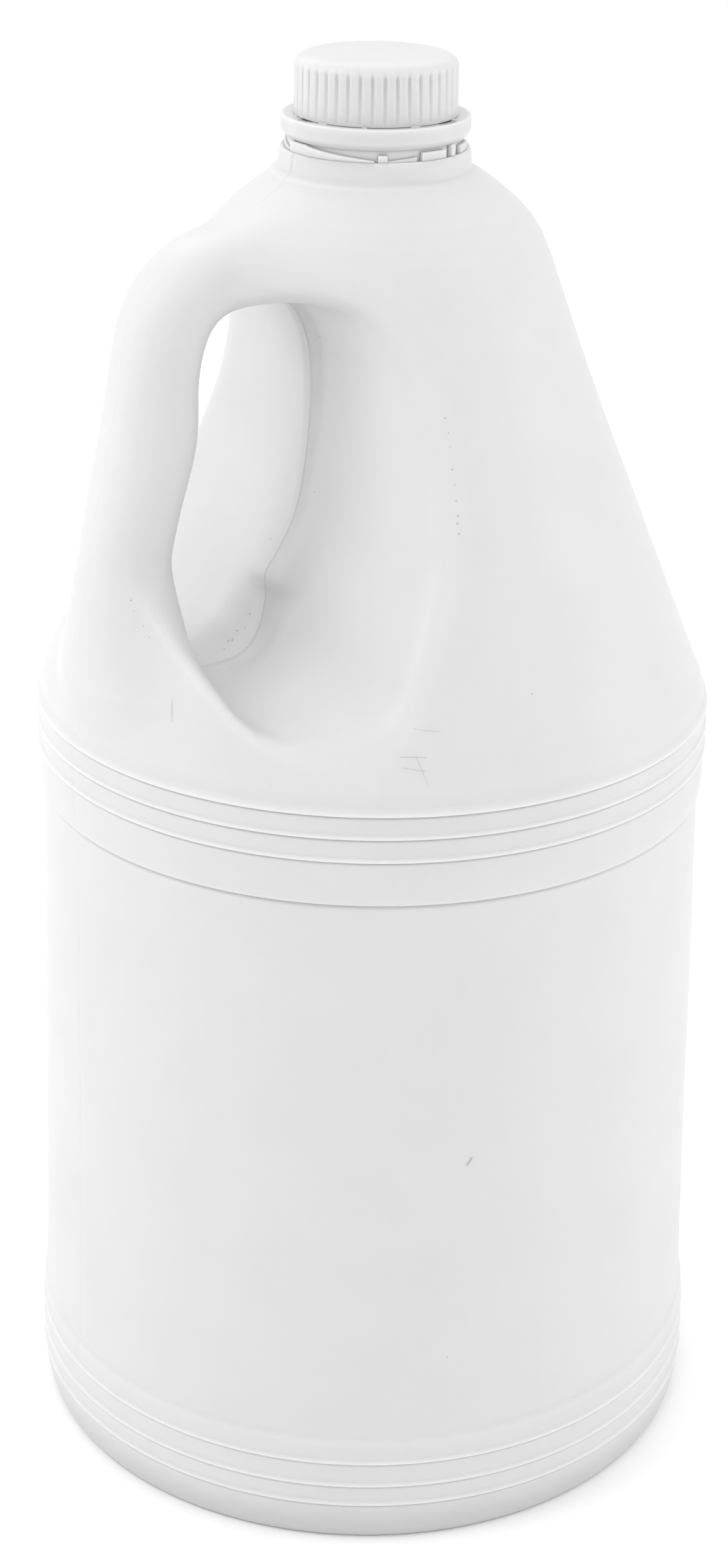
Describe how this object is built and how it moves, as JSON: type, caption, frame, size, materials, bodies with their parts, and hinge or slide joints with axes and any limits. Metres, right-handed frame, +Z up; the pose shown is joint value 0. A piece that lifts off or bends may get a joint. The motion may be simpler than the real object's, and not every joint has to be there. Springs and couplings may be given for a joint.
{
  "type": "plastic jug",
  "caption": "Round blow-moulded plastic jug with a conical shoulder, a moulded-in side handle over a hand recess, and a ribbed screw cap with a tamper band.",
  "frame": {"origin": "centre of the foot, on the plane the jug stands on", "axes": "+Z up through the cap; the handle points to -X; Y = 0 is the mould's parting plane"},
  "size_m": [0.1704, 0.1704, 0.3525],
  "materials": {
    "jug_plastic": "satin white polyethylene, blow moulded",
    "cap_plastic": "satin white polyethylene, injection moulded"
  },
  "bodies": {
    "root": {"jug": "jug_plastic", "cap": "cap_plastic"}
  },
  "joints": []
}
